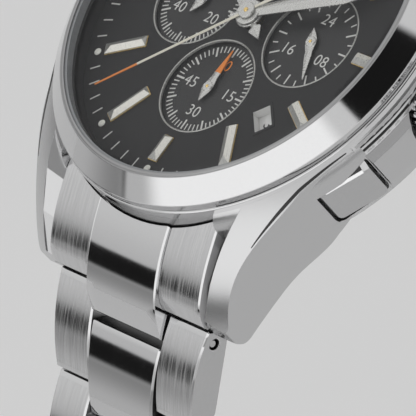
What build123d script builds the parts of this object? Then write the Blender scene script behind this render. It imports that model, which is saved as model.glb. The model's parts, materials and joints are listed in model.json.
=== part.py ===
"""Chronograph wristwatch on a three-piece-link bracelet, modelled in millimetres.

Frame: the origin is the middle of the case back's outer face, +Z points out of the dial, +X runs
to the crown at three o'clock and +Y to twelve o'clock. Each function below builds one physical
piece, or one group of identical pieces, and every piece is written to parts/NAME.step.
"""
from build123d import *
import os
from math import cos, exp, pi, radians, sin, sqrt

# ---------------------------------------------------------------- driving dimensions
DIAL_Z = 8.4              # dial plane above the case back's outer face
LUG_WIDTH = 20.0          # gap between the lugs, the strap size of the watch
CASE_R = 20.78            # round middle of the case
BEZEL_R = 19.55
BEZEL_LIP_R = 17.64
DIAL_VIEW_R = 17.05       # visible radius of the dial, the inside of the flange
BORE_R = 17.7             # inside of the case
SEAT_R = 19.75            # recess that the bezel is pressed into
TIP_Y = 24.45             # lug tips, from the middle of the watch
FLANK_BOTTOM = -6.05      # all heights below are from the dial plane
WALL_BOTTOM = -5.50       # of the round wall between the lugs
CASE_BOTTOM = -7.6
CROWN_AXIS = -3.72
PUSHER_AXIS = -3.82
DOME_RING_R = 12.70       # the case's convex top: an arc turned about the watch's axis
DOME_RING_Z = -14.81
DOME_ARC_R = 16.64
SUBDIAL_OFFSET = 7.12
SUBDIAL_R = 4.67

PITCH = 9.1               # pivot to pivot along the bracelet
LINK_HALF = 1.45          # half of the bracelet's thickness
PIN_R = 0.60
RUN = 0.05                # radial running clearance of a pin
SIDE_GAP = 0.12           # centre link to side link
FIRST_PIVOT = (25.0, -9.1)
HEADINGS = (42.0, 37.5, 74.0, 94.0, 118.0, 141.0, 167.0)   # fall of each row below the dial plane


# pushers and crown
PUSHER_ANGLE = 35.0       # the push axis, from three o'clock
PUSHER_FACE = (18.35, 9.80)
PUSHER_WIDTH = 4.9
PUSHER_LOW = -5.60
PUSHER_TOP = -1.10        # of the back of the head
PUSHER_FACE_TOP = -2.17   # where the head's slope meets its face
PUSHER_CORNER = 0.60
PUSHER_HEAD = 0.85        # thickness of the head
POCKET_DEPTH = 1.85       # the head, its travel of 0.7 and 0.3 to spare
POCKET_GAP = 0.22
STEM_R = 0.75
TUBE_R = 1.15
CROWN_R = 3.2
CROWN_IN = 20.35
CROWN_OUT = 23.5
CROWN_FLUTES = 36
CROWN_TUBE_R = 1.45

# dial and hands
DIAL_R = 17.5
DIAL_LOW = -0.8
SUBDIAL_FLOOR = -0.45
SUBDIALS = ((SUBDIAL_OFFSET, 0), (0, -SUBDIAL_OFFSET), (-SUBDIAL_OFFSET, 0))
ARBOR_R = 0.35
CENTRE_R = 0.95
DATE_AT = (8.0, -8.0)
DATE_SIZE = (2.3, 1.7)
MARKER_OUT = 15.1
MARKER_IN = {12: 10.9, 1: 11.0, 2: 11.6, 3: 12.9, 4: 11.7, 5: 11.1,
             6: 12.6, 7: 11.0, 8: 10.9, 9: 12.9, 10: 11.6, 11: 11.0}
DOT_RING_R = 15.95
HOUR_LEVEL = 0.75
MINUTE_LEVEL = 1.05
SECONDS_LEVEL = 1.32
SMALL_LEVEL = -0.20
HAND_THICK = 0.16
HOUR_TUBE_R = 0.80
MINUTE_TUBE_R = 0.62

# movement
BATTERY_AT = (-6.6, 7.2)
COILS_AT = ((3.5, 10.5, 15), (-10.3, -3.0, 80), (7.5, -7.5, 45))
BRIDGE_POSTS = (45, 172, 225, 315)   # angles from three o'clock
POST_RING_R = 13.2

# bracelet
LUG_BAR = (22.2, -6.6)
SIDE_START = -1.30        # along a row, from its pivot
SIDE_END = PITCH - 1.65
CENTRE_START = 1.80
CENTRE_END = PITCH + 1.30
WIDTH_END = 8.0
WIDTH_EXTRA = 1.7
WIDTH_FADE = 14.0
CENTRE_SHARE = 0.475
CENTRE_RISE = 0.12
SIDE_RISE = 0.25           # of the middle of a link's convex top
END_LINK_RISE = 0.22
BEVEL = 0.22

# clasp
CLASP_R = 88.3            # outer face of the cover, an arc along the wrist
CLASP_CENTRE = 30.10      # its centre's height
COVER_HALF_X = 8.25
WALL = 0.9
HINGE_COVER = -16.5       # y of the cover's hinge to the outer blade
HINGE_BLADES = 14.0       # y of the hinge between the blades
HINGE_PIN_R = 0.40
KNUCKLE_R = 0.9
COVER_PIVOT_R = 86.45
BLADES_PIVOT_R = 85.85
OUTER_BLADE_R = 86.9
INNER_BLADE_R = 85.7
BLADE_THICK = 0.9
BLADE_HALF_X = 5.4
BUTTON_Y = 8.0
BUTTON_Z = -55.02
BUTTON_LONG = 4.4
BUTTON_TALL = 1.3

parts = {}


def up(z):
    """Height above the case back of a height given from the dial plane."""
    return DIAL_Z + z


def standing(r, height):
    """Cylinder that stands on the plane it is placed on."""
    return Cylinder(r, height, align=(Align.CENTER, Align.CENTER, Align.MIN))


def disc(r, low, high, x=0.0, y=0.0):
    return Pos(x, y, up(low)) * standing(r, high - low)


def ring(r_in, r_out, low, high, x=0.0, y=0.0):
    return disc(r_out, low, high, x, y) - disc(r_in, low - 1, high + 1, x, y)


def turned(points):
    """Closed (radius, height) outline turned about the watch's axis."""
    outline = Polyline([(r, up(z)) for r, z in points], close=True)
    return revolve(Plane.XZ * make_face(outline), Axis.Z, 360)


def slab(x, y, low, high, cx=0.0, cy=0.0):
    return Pos(cx, cy, up(low)) * Box(x, y, high - low, align=(Align.CENTER, Align.CENTER, Align.MIN))


def rod_x(r, x0, x1, y, z):
    """Round bar along X."""
    return Pos(x0, y, up(z)) * Rot(0, 90, 0) * standing(r, x1 - x0)


def group(solids):
    return Compound(children=[s for part in solids for s in part.solids()])


def dome_height(r):
    return DOME_RING_Z + sqrt(DOME_ARC_R ** 2 - (r - DOME_RING_R) ** 2)


def both_sides(part):
    """The part and its copy turned half round the watch's axis."""
    return [part, Rot(0, 0, 180) * part]


# ---------------------------------------------------------------- case
def dome():
    """Everything below the case's convex top, out past the lug tips."""
    inner, outer, floor = 15.0, 28.5, -12.0
    with_arc = make_face(Curve() + [
        Line((0, up(floor)), (outer, up(floor))),
        Line((outer, up(floor)), (outer, up(dome_height(outer)))),
        ThreePointArc((outer, up(dome_height(outer))), (22.0, up(dome_height(22.0))),
                      (inner, up(dome_height(inner)))),
        Line((inner, up(dome_height(inner))), (0, up(dome_height(inner)))),
        Line((0, up(dome_height(inner))), (0, up(floor))),
    ])
    return revolve(Plane.XZ * with_arc, Axis.Z, 360)


def lug_plan():
    """Plan of one quarter, from the middle out to the lug's tip."""
    crest_end, root = (19.0, 7.6), (16.57, 12.57)
    tip_round = 0.75
    flank = Spline([root, (15.18, 16.21), (13.66, 19.58), (12.83, 22.24), (12.66, TIP_Y - tip_round)])
    end = ThreePointArc((12.66, TIP_Y - tip_round), (12.42, TIP_Y - 0.2), (11.9, TIP_Y))
    return make_face(Curve() + [
        Line((0, 0), crest_end), Line(crest_end, root), flank, end, Line((11.9, TIP_Y), (0, TIP_Y)), Line((0, TIP_Y), (0, 0))])


def lugs():
    quarter = Pos(0, 0, up(-12)) * extrude(lug_plan(), 14)
    half = quarter + mirror(quarter, Plane.YZ)
    plan = half + mirror(half, Plane.XZ)
    underside = make_face(Curve() + [
        Line((0, up(4)), (0, up(WALL_BOTTOM))),
        Line((0, up(WALL_BOTTOM)), (10.0, up(WALL_BOTTOM))),
        Spline([(10.0, up(WALL_BOTTOM)), (11.3, up(-6.15)), (12.8, up(-6.75)), (16.7, up(-7.25)),
                (20.2, up(-8.4)), (22.9, up(-9.1))]),
        ThreePointArc((22.9, up(-9.1)), (23.95, up(-8.9)), (TIP_Y + 0.02, up(-8.0))),
        Line((TIP_Y + 0.02, up(-8.0)), (TIP_Y + 0.02, up(4))),
        Line((TIP_Y + 0.02, up(4)), (0, up(4))),
    ])
    side = extrude(Plane.YZ * underside, 24, both=True)
    side += mirror(side, Plane.XZ)
    return plan & side & dome()


def lug_bevel():
    """Cutter for the sloping polished face along the inside of one lug's top."""
    sections = []
    for y, crest in ((13.0, 12.95), (16.0, 12.27), (19.0, 11.69), (22.0, 11.1), (25.5, 10.42)):
        z = dome_height(min(sqrt(crest ** 2 + y ** 2), 28.4))
        inner = LUG_WIDTH / 2 - 0.6
        slope_end = z - (crest - inner)
        outline = Polyline([(crest, z), (inner, slope_end), (inner, z + 4), (crest, z + 4)], close=True)
        sections.append(Plane(origin=(0, y, up(0)), x_dir=(1, 0, 0), z_dir=(0, -1, 0)) * make_face(outline))
    return loft(sections, ruled=True)


def pusher_frame(side):
    """Local frame of a pusher: z along the push axis, outwards, and y up; side is +1 at two o'clock."""
    a = radians(PUSHER_ANGLE * side)
    return Plane(origin=(PUSHER_FACE[0], side * PUSHER_FACE[1], up(PUSHER_AXIS)),
                 x_dir=(-sin(a), cos(a), 0), z_dir=(cos(a), sin(a), 0))


def pusher_block(side, grow, low, high):
    """Head of a pusher, or its pocket if grown: a rounded block whose front slopes above its face."""
    tall, middle = PUSHER_TOP - PUSHER_LOW, (PUSHER_TOP + PUSHER_LOW) / 2
    outline = RectangleRounded(PUSHER_WIDTH + 2 * grow, tall + 2 * grow, PUSHER_CORNER + grow)
    block = Pos(0, middle - PUSHER_AXIS, low) * extrude(outline, high - low)
    slope_low, slope_high = PUSHER_FACE_TOP - PUSHER_AXIS + grow, PUSHER_TOP - PUSHER_AXIS + grow
    front = Polyline([(slope_low, 0), (slope_high, -PUSHER_HEAD), (slope_high + 3, -PUSHER_HEAD),
                      (slope_high + 3, 6), (slope_low, 6)], close=True)
    block -= extrude(Plane.YZ * make_face(front), 5, both=True)
    return pusher_frame(side) * block


def pusher_rod(side, r, low, high):
    return pusher_frame(side) * Pos(0, 0, low) * standing(r, high - low)


def crown_guards():
    shoulder = turned([(20.0, -0.8), (20.3, dome_height(20.3)), (20.5, -0.55), (21.15, -2.0), (21.15, -4.9),
                       (20.6, FLANK_BOTTOM), (20.0, FLANK_BOTTOM)])
    return shoulder & slab(10, 14.5, -10, 4, 20)


def barrel():
    """Round wall of the case with the seat for the bezel, its top on the dome's arc."""
    crest = 20.10
    outline = make_face(Curve() + [
        Line((BORE_R, up(CASE_BOTTOM)), (19.0, up(CASE_BOTTOM))),
        Line((19.0, up(CASE_BOTTOM)), (CASE_R, up(WALL_BOTTOM))),
        Line((CASE_R, up(WALL_BOTTOM)), (CASE_R, up(-1.4))),
        ThreePointArc((CASE_R, up(-1.4)), (20.58, up(-0.575)), (crest, up(dome_height(crest)))),
        Line((crest, up(dome_height(crest))), (SEAT_R, up(dome_height(SEAT_R)))),
        Line((SEAT_R, up(dome_height(SEAT_R))), (SEAT_R, up(-0.5))),
        Line((SEAT_R, up(-0.5)), (BORE_R, up(-0.5))),
        Line((BORE_R, up(-0.5)), (BORE_R, up(CASE_BOTTOM))),
    ])
    return revolve(Plane.XZ * outline, Axis.Z, 360)


def case_middle():
    inside = disc(SEAT_R + 0.25, -13, 7)
    arms = lugs() - inside - slab(LUG_WIDTH, 70, -13, 7)
    bevel = lug_bevel() - inside
    for cutter in (bevel, mirror(bevel, Plane.YZ)):
        for turned_cutter in both_sides(cutter):
            arms -= turned_cutter
    link_slot = slab(LUG_WIDTH, 70, -13, 7) - disc(SEAT_R - 0.05, -14, 8)
    body = (barrel() - link_slot) + arms + crown_guards()
    body -= rod_x(3.45, 20.0, 30, 0, CROWN_AXIS)
    body -= rod_x(CROWN_TUBE_R, 16, 21, 0, CROWN_AXIS)
    for side in (1, -1):
        body -= pusher_block(side, POCKET_GAP, -POCKET_DEPTH, 4)
        body -= pusher_rod(side, TUBE_R, -5, 0)
    for y in (LUG_BAR[0], -LUG_BAR[0]):
        body -= rod_x(0.5, -11.4, 11.4, y, LUG_BAR[1])
    body -= ring(17.6, 18.3, CASE_BOTTOM - 1, CASE_BOTTOM + 0.45)
    return body


def bezel():
    return turned([(BORE_R + 0.02, -0.5), (BEZEL_R, -0.5), (BEZEL_R, 1.10), (BEZEL_R - 0.06, 1.18),
                   (BEZEL_LIP_R + 0.05, 2.72), (BEZEL_LIP_R - 0.05, 2.78), (17.36, 2.78), (17.36, 1.68),
                   (BORE_R + 0.02, 1.68)])


def crystal():
    return turned([(0, 1.75), (17.12, 1.75), (17.12, 2.70), (16.97, 2.85), (0, 2.85)])


def rehaut_ring():
    return turned([(DIAL_VIEW_R, 0.02), (BORE_R - 0.02, 0.02), (BORE_R - 0.02, 1.66),
                   (DIAL_VIEW_R + 0.12, 1.66), (DIAL_VIEW_R, 1.5)])


def case_back():
    body = turned([(0, -DIAL_Z), (16.9, -DIAL_Z), (17.6, -8.15), (18.6, -7.9), (18.6, CASE_BOTTOM),
                   (17.58, CASE_BOTTOM), (17.58, -6.7), (16.5, -6.7), (16.5, CASE_BOTTOM + 0.2),
                   (0, CASE_BOTTOM + 0.2)])
    for i in range(6):
        body -= Rot(0, 0, 60 * i + 30) * slab(1.4, 1.8, -9, -8.0, 17.9)
    return body


# ---------------------------------------------------------------- dial
def dial():
    body = disc(DIAL_R, DIAL_LOW, 0)
    for x, y in SUBDIALS:
        body -= disc(SUBDIAL_R, SUBDIAL_FLOOR, 1, x, y)
        body -= disc(ARBOR_R + 0.08, -2, 1, x, y)
    body -= disc(CENTRE_R + 0.1, -2, 1)
    return body - date_cut(0, -2, 1)


def date_cut(grow, low, high):
    opening = Box(DATE_SIZE[0] + 2 * grow, DATE_SIZE[1] + 2 * grow, high - low,
                  align=(Align.CENTER, Align.CENTER, Align.MIN))
    return Pos(*DATE_AT, up(low)) * Rot(0, 0, -45) * opening


def date_frame():
    return date_cut(0.28, 0, 0.12) - date_cut(0, -1, 1)


def subdial_rings():
    return group([ring(SUBDIAL_R - 0.14, SUBDIAL_R + 0.14, 0, 0.14, x, y) for x, y in SUBDIALS])


def hour_markers():
    """Roof-shaped batons, one at each hour and a pair at twelve."""
    batons = []
    roof = make_face(Polyline([(-0.55, 0), (0.55, 0), (0.55, 0.22), (0, 0.55), (-0.55, 0.22)], close=True))
    for hour, inner in MARKER_IN.items():
        start = Plane(origin=(0, inner, up(0)), x_dir=(-1, 0, 0), z_dir=(0, 1, 0))
        baton = start * extrude(roof, MARKER_OUT - inner)
        for shift in ((-0.8, 0.8) if hour == 12 else (0,)):
            batons.append(Rot(0, 0, -30 * hour) * Pos(shift, 0, 0) * baton)
    return group(batons)


def minute_dots():
    return group([Rot(0, 0, 30 * k) * disc(0.32, 0, 0.06, 0, DOT_RING_R) for k in range(12)])


# ---------------------------------------------------------------- hands
def pointer(outline, low, high, angle, x=0.0, y=0.0):
    """Flat hand cut from an outline that points to twelve, then set to an angle clockwise from twelve."""
    blade = extrude(make_face(Polyline(outline, close=True)), high - low)
    return Pos(x, y, up(low)) * Rot(0, 0, -angle) * blade


def minute_hand():
    blade = pointer([(-0.75, -1.6), (0.75, -1.6), (0.62, 0), (0.85, 9.5), (0, 14.6), (-0.85, 9.5),
                     (-0.62, 0)], MINUTE_LEVEL, MINUTE_LEVEL + HAND_THICK, 62)
    return blade + disc(1.25, MINUTE_LEVEL, MINUTE_LEVEL + HAND_THICK) - disc(MINUTE_TUBE_R, -1, 3)


def hour_hand():
    blade = pointer([(-0.9, -2.6), (0, -1.7), (0.9, -2.6), (0.62, 0), (1.0, 6.3), (0, 9.6), (-1.0, 6.3),
                     (-0.62, 0)], HOUR_LEVEL, HOUR_LEVEL + HAND_THICK, 305)
    return blade + disc(1.35, HOUR_LEVEL, HOUR_LEVEL + HAND_THICK) - disc(HOUR_TUBE_R, -1, 3)


def chrono_seconds_hand():
    blade = pointer([(-0.32, -4.6), (0.32, -4.6), (0.16, 0), (0.09, 15.7), (-0.09, 15.7), (-0.16, 0)],
                    SECONDS_LEVEL, SECONDS_LEVEL + 0.12, 225.8)
    return blade + disc(0.75, SECONDS_LEVEL, SECONDS_LEVEL + 0.2) + disc(0.36, -5.2, SECONDS_LEVEL + 0.1)


def small_hand(angle, x, y):
    blade = pointer([(-0.34, -1.5), (0, -1.9), (0.34, -1.5), (0.26, 0), (0.30, 0.4), (0, 4.0), (-0.30, 0.4),
                     (-0.26, 0)], SMALL_LEVEL, SMALL_LEVEL + 0.12, angle, x, y)
    hub = disc(0.58, SMALL_LEVEL, SMALL_LEVEL + HAND_THICK, x, y)
    return blade + hub + disc(ARBOR_R, -4.4, SMALL_LEVEL + 0.05, x, y)


def gear(r, teeth, low, high, tooth=0.22):
    """Toothed wheel with straight-flanked teeth, as fine as a watch train's."""
    points = []
    for i in range(teeth):
        for fraction, radius in ((0.0, r - tooth), (0.3, r - tooth), (0.45, r), (0.75, r)):
            a = 2 * pi * (i + fraction) / teeth
            points.append((radius * cos(a), radius * sin(a)))
    return Pos(0, 0, up(low)) * extrude(make_face(Polyline(points, close=True)), high - low)


def cannon_pinion():
    """Tube that carries the minute hand, with its drive wheel below the dial."""
    tube = disc(MINUTE_TUBE_R, -2.6, MINUTE_LEVEL + HAND_THICK) - disc(0.42, -5, 3)
    return tube + (gear(1.7, 18, -2.6, -2.25) - disc(0.42, -5, 3))


def hour_wheel():
    return disc(HOUR_TUBE_R, -2.05, HOUR_LEVEL + HAND_THICK) + gear(3.0, 36, -2.05, -1.75) - disc(0.68, -5, 3)


def date_ring():
    return ring(9.35, 12.4, -1.08, -0.88)


# ---------------------------------------------------------------- movement
def movement_holder():
    body = ring(15.05, BORE_R - 0.2, -6.4, DIAL_LOW - 0.02)
    body -= rod_x(1.3, 10, 20, 0, CROWN_AXIS)
    for side in (1, -1):
        body -= pusher_rod(side, 1.3, -12, 0)
    return body


def main_plate():
    body = disc(15.0, -3.0, -1.5) - disc(1.0, -8, 3)
    body -= disc(3.2, -2.15, -1)
    body -= disc(2.0, -2.75, -1)
    for x, y in SUBDIALS:
        body -= disc(ARBOR_R + 0.05, -8, 3, x, y)
    body += ring(12.8, 15.0, -1.5, DIAL_LOW - 0.02)
    return body - rod_x(1.3, 8, 20, 0, CROWN_AXIS)


def battery():
    return disc(4.75, -6.3, -4.3, *BATTERY_AT) + disc(4.2, -4.3, -4.1, *BATTERY_AT)


def circuit_board():
    body = disc(14.6, -3.5, -3.15) - disc(1.0, -8, 3) - disc(5.0, -8, 3, *BATTERY_AT)
    body -= slab(10, 6, -8, 3, 12, 0)
    for x, y in SUBDIALS:
        body -= disc(0.7, -8, 3, x, y)
    return body


def motor_coils():
    """Stepping-motor coils: a winding between two iron cheeks, three times."""
    coils = []
    for x, y, angle in COILS_AT:
        winding = Rot(0, 90, 0) * Cylinder(0.75, 5.0)
        cheeks = Pos(3.0, 0, 0) * Box(1.0, 2.4, 0.5) + Pos(-3.0, 0, 0) * Box(1.0, 2.4, 0.5)
        coils.append(Pos(x, y, up(-4.35)) * Rot(0, 0, angle) * (winding + cheeks))
    return group(coils)


def post_places():
    return [(POST_RING_R * cos(radians(a)), POST_RING_R * sin(radians(a))) for a in BRIDGE_POSTS]


def train_bridge():
    body = ring(2.4, 14.6, -6.0, -5.4)
    body -= disc(5.2, -8, 3, *BATTERY_AT)
    body += disc(2.5, -6.0, -5.4)
    for x, y in post_places():
        body += disc(0.9, -5.4, -3.52, x, y)
    for x, y in SUBDIALS:
        body -= disc(ARBOR_R + 0.1, -8, -3, x, y)
    return body - disc(0.46, -8, 3)


def bridge_screws():
    head = disc(0.8, -6.3, -6.0) - slab(1.6, 0.25, -6.5, -6.18)
    return group([Pos(x, y, 0) * head for x, y in post_places()])


# ---------------------------------------------------------------- crown and pushers
def crown():
    body = rod_x(CROWN_R, CROWN_IN, CROWN_OUT, 0, CROWN_AXIS)
    body = chamfer(body.edges().filter_by(GeomType.CIRCLE), 0.3)
    for i in range(CROWN_FLUTES):
        a = 2 * pi * i / CROWN_FLUTES
        body -= rod_x(0.17, CROWN_IN - 1, CROWN_OUT - 0.55, CROWN_R * cos(a), CROWN_AXIS + CROWN_R * sin(a))
    return body - rod_x(1.75, CROWN_IN - 1, CROWN_OUT - 1.2, 0, CROWN_AXIS)


def winding_stem():
    body = rod_x(0.55, 9.5, CROWN_OUT - 1.2, 0, CROWN_AXIS)
    return body + rod_x(1.0, CROWN_OUT - 1.6, CROWN_OUT - 1.2, 0, CROWN_AXIS)


def clutch_pinion():
    return rod_x(1.15, 10.2, 12.6, 0, CROWN_AXIS) - rod_x(0.6, 9, 14, 0, CROWN_AXIS)


def crown_tube():
    return rod_x(CROWN_TUBE_R, BORE_R + 0.3, 21.6, 0, CROWN_AXIS) - rod_x(0.65, 16, 24, 0, CROWN_AXIS)


def pusher_tubes():
    return group([pusher_rod(side, TUBE_R, -3.0, -POCKET_DEPTH) - pusher_rod(side, STEM_R + RUN, -4, 0)
                  for side in (1, -1)])


def pusher(side):
    head = pusher_block(side, 0, -PUSHER_HEAD, 0)
    head = chamfer(head.faces().sort_by_distance(pusher_frame(side).origin)[0].edges(), 0.12)
    return head + pusher_rod(side, STEM_R, -4.6, -0.8)


def spring(side):
    """Coil spring round the pusher's stem, between the tube and the head."""
    wire = 0.14
    coil = Helix(pitch=0.30, height=0.62, radius=0.98)
    profile = Plane(origin=coil @ 0, z_dir=coil % 0) * Circle(wire / 2 * 1.6)
    return pusher_frame(side) * Pos(0, 0, -1.66) * sweep(profile, path=coil, is_frenet=True)


# ---------------------------------------------------------------- bracelet
def half_width(s):
    """Half width of the bracelet, a distance s past the first pivot."""
    return WIDTH_END + WIDTH_EXTRA * exp(-s / WIDTH_FADE)


def centre_half(s):
    return CENTRE_SHARE * half_width(s)


def barrel_profile(start, end, top, shoulder=0.60):
    """Side view of a link piece: convex top, flat back, back corners well rounded."""
    back, round_r = -LINK_HALF, 1.15
    k = round_r * (1 - sqrt(0.5))
    middle = (start + end) / 2
    return make_face(Curve() + [
        ThreePointArc((start, top - shoulder), (middle, top), (end, top - shoulder)),
        Line((end, top - shoulder), (end, back + round_r)),
        ThreePointArc((end, back + round_r), (end - k, back + k), (end - round_r, back)),
        Line((end - round_r, back), (start + round_r, back)),
        ThreePointArc((start + round_r, back), (start + k, back + k), (start, back + round_r)),
        Line((start, back + round_r), (start, top - shoulder)),
    ])


def edge_at(part, height, minimum=5.0):
    """Long top edges of a link piece, which get the polished bevel."""
    return [e for e in part.edges() if e.length > minimum and e.center().Z > height]


def link_piece(profile, plan):
    """Side view drawn out across the bracelet, trimmed to its tapered plan."""
    body = extrude(Plane.YZ * profile, 12, both=True)
    return body & (Pos(0, 0, -4) * extrude(make_face(Polyline(plan, close=True)), 8))


def row(index):
    """One bracelet row about its pivot: y along the row, z outwards."""
    s = PITCH * index
    side_plan = [(centre_half(s + SIDE_START) + SIDE_GAP, SIDE_START),
                 (half_width(s + SIDE_START), SIDE_START),
                 (half_width(s + SIDE_END), SIDE_END),
                 (centre_half(s + SIDE_END) + SIDE_GAP, SIDE_END)]
    side = link_piece(barrel_profile(SIDE_START, SIDE_END, LINK_HALF + SIDE_RISE), side_plan)
    side = chamfer(edge_at(side, LINK_HALF - 0.5), BEVEL)
    wide, narrow = centre_half(s + CENTRE_START), centre_half(s + CENTRE_END)
    centre_plan = [(-wide, CENTRE_START), (wide, CENTRE_START), (narrow, CENTRE_END), (-narrow, CENTRE_END)]
    centre = link_piece(barrel_profile(CENTRE_START, CENTRE_END, LINK_HALF + SIDE_RISE + CENTRE_RISE), centre_plan)
    centre = chamfer(edge_at(centre, LINK_HALF - 0.5), BEVEL)
    bar = Rot(0, 90, 0) * Cylinder(PIN_R, 2 * half_width(s) - 0.7)
    bore = Rot(0, 90, 0) * Cylinder(PIN_R, 30)
    loose_bore = Pos(0, PITCH, 0) * Rot(0, 90, 0) * Cylinder(PIN_R + RUN, 30)
    fixing_y = 5.2
    fixing = Pos(0, fixing_y, 0) * Rot(0, 90, 0) * Cylinder(0.5, 12)
    sides = [side, mirror(side, Plane.YZ)]
    return [p - bore - fixing for p in sides] + [centre - loose_bore - fixing, bar, fixing]


def pivots():
    """Pivot of each row and, last, of the clasp, in (y, height)."""
    points = [FIRST_PIVOT]
    for heading in HEADINGS:
        y, z = points[-1]
        a = radians(heading)
        points.append((y + PITCH * cos(a), z - PITCH * sin(a)))
    return points


def row_frame(index):
    y, z = pivots()[index]
    a = radians(HEADINGS[index])
    return Plane(origin=(0, y, up(z)), x_dir=(1, 0, 0), z_dir=(0, sin(a), cos(a)))


def placed_row(index):
    return group([row_frame(index) * piece for piece in row(index)])


def end_link():
    """Fixed piece between the lugs at twelve: two brushed flanks and a raised centre to the first pivot."""
    py, pz = FIRST_PIVOT
    fall = [(17.64, -1.18), (19.5, -1.96), (20.78, -2.70), (22.25, -3.72), (23.23, -4.58), (24.0, -5.9)]
    flank_outline = make_face(Curve() + [
        Line((12.0, up(-4.6)), (12.0, up(0.6))), Line((12.0, up(0.6)), (17.64, up(-1.18))),
        Spline([(y, up(z)) for y, z in fall]),
        Line((24.0, up(-5.9)), (24.0, up(-7.9))), Line((24.0, up(-7.9)), (21.4, up(-8.2))),
        Line((21.4, up(-8.2)), (18.6, up(-5.4))), Line((18.6, up(-5.4)), (12.0, up(-4.6)))])
    flank = extrude(Plane.YZ * flank_outline, LUG_WIDTH / 2 - 0.05, both=True)
    flank -= rod_x(2.1, -12, 12, py, pz)
    nose = (py + 1.0 * cos(radians(39.5)) + 1.5 * sin(radians(39.5)),
            pz - 1.0 * sin(radians(39.5)) + 1.5 * cos(radians(39.5)))
    raised = [(y, up(z + END_LINK_RISE)) for y, z in ((12.0, 0.6), (17.64, -1.18), (19.5, -1.96),
                                                      (22.25, -3.72), (24.6, -5.65))]
    centre_outline = make_face(Curve() + [
        Line((12.0, up(-4.6)), raised[0]), Line(raised[0], raised[1]),
        Spline(raised[1:] + [(nose[0], up(nose[1]))]),
        Line((nose[0], up(nose[1])), (py + 1.25, up(pz - 0.35))),
        ThreePointArc((py + 1.25, up(pz - 0.35)), (py + 0.35, up(pz - 1.25)), (py - 0.9, up(pz - 0.95))),
        Line((py - 0.9, up(pz - 0.95)), (21.4, up(-8.2))),
        Line((21.4, up(-8.2)), (18.6, up(-5.4))), Line((18.6, up(-5.4)), (12.0, up(-4.6)))])
    centre = extrude(Plane.YZ * centre_outline, centre_half(-1.0), both=True)
    body = flank + centre
    body -= disc(SEAT_R + 0.1, -13, 7)
    body -= rod_x(0.95, -12, 12, *LUG_BAR)
    return body - rod_x(PIN_R + RUN, -12, 12, py, pz)


def spring_bar():
    """Bar with a shoulder at each end and a thin tip in each lug."""
    y, z = LUG_BAR
    return rod_x(0.9, -9.6, 9.6, y, z) + rod_x(0.48, -11.2, 11.2, y, z)


# ---------------------------------------------------------------- clasp
def clasp_arc_height(y, r):
    return CLASP_CENTRE - sqrt(r ** 2 - y ** 2)


def curved_plate(r_out, r_in, y0, y1, x0, x1):
    """Plate that follows the clasp's arc between two radii."""
    middle = (y0 + y1) / 2
    outline = make_face(Curve() + [
        ThreePointArc(*[(y, up(clasp_arc_height(y, r_out))) for y in (y0, middle, y1)]),
        Line((y1, up(clasp_arc_height(y1, r_out))), (y1, up(clasp_arc_height(y1, r_in)))),
        ThreePointArc(*[(y, up(clasp_arc_height(y, r_in))) for y in (y1, middle, y0)]),
        Line((y0, up(clasp_arc_height(y0, r_in))), (y0, up(clasp_arc_height(y0, r_out))))])
    return Pos((x0 + x1) / 2, 0, 0) * extrude(Plane.YZ * outline, (x1 - x0) / 2, both=True)


def clasp_cover():
    end_y, end_z = pivots()[-1]
    plate = curved_plate(CLASP_R, CLASP_R - 1.0, -(end_y - 1.75), end_y - 1.75, -COVER_HALF_X, COVER_HALF_X)
    body = plate
    ear_inner = centre_half(PITCH * len(HEADINGS)) + SIDE_GAP
    for s in (1, -1):
        x0, x1 = sorted((s * (COVER_HALF_X - WALL), s * COVER_HALF_X))
        body += curved_plate(CLASP_R, CLASP_R - 3.3, -(end_y + 1.2), end_y + 1.2, x0, x1)
        x0, x1 = sorted((s * ear_inner, s * COVER_HALF_X))
        body += curved_plate(CLASP_R, CLASP_R - 2.9, end_y - 2.4, end_y + 1.2, x0, x1)
        body += curved_plate(CLASP_R, CLASP_R - 1.0, -(end_y + 1.2), -(end_y - 2.4), x0, x1)
    body += rod_x(HINGE_PIN_R, -COVER_HALF_X + 0.4, COVER_HALF_X - 0.4, HINGE_COVER,
                  clasp_arc_height(HINGE_COVER, COVER_PIVOT_R))
    for s in (1, -1):
        body -= Pos(s * 8, BUTTON_Y, up(BUTTON_Z)) * Box(3, BUTTON_LONG + 0.2, BUTTON_TALL + 0.2)
    return body - rod_x(PIN_R, -12, 12, end_y, end_z)


def clasp_pin():
    end_y, end_z = pivots()[-1]
    return rod_x(PIN_R, -COVER_HALF_X + 0.3, COVER_HALF_X - 0.3, end_y, end_z)


def clasp_button(side):
    head = Pos(side * 7.75, BUTTON_Y, up(BUTTON_Z)) * Box(2.1, BUTTON_LONG, BUTTON_TALL)
    flange = Pos(side * 6.85, BUTTON_Y, up(BUTTON_Z)) * Box(0.5, BUTTON_LONG + 1.0, BUTTON_TALL)
    return head + flange


def clasp_blade_outer():
    pivot = clasp_arc_height(HINGE_COVER, COVER_PIVOT_R)
    inside = OUTER_BLADE_R - BLADE_THICK
    body = curved_plate(OUTER_BLADE_R, inside, HINGE_COVER, HINGE_BLADES - 1.4, -BLADE_HALF_X, BLADE_HALF_X)
    body += rod_x(0.72, -BLADE_HALF_X, BLADE_HALF_X, HINGE_COVER, pivot)
    end = clasp_arc_height(HINGE_BLADES, BLADES_PIVOT_R)
    for s in (1, -1):
        x0, x1 = sorted((s * 2.2, s * BLADE_HALF_X))
        body += curved_plate(OUTER_BLADE_R, inside, HINGE_BLADES - 2.0, HINGE_BLADES, x0, x1)
        body += rod_x(KNUCKLE_R, x0, x1, HINGE_BLADES, end)
    body += rod_x(HINGE_PIN_R, -5.2, 5.2, HINGE_BLADES, end)
    return body - rod_x(HINGE_PIN_R + RUN, -9, 9, HINGE_COVER, pivot)


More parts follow.
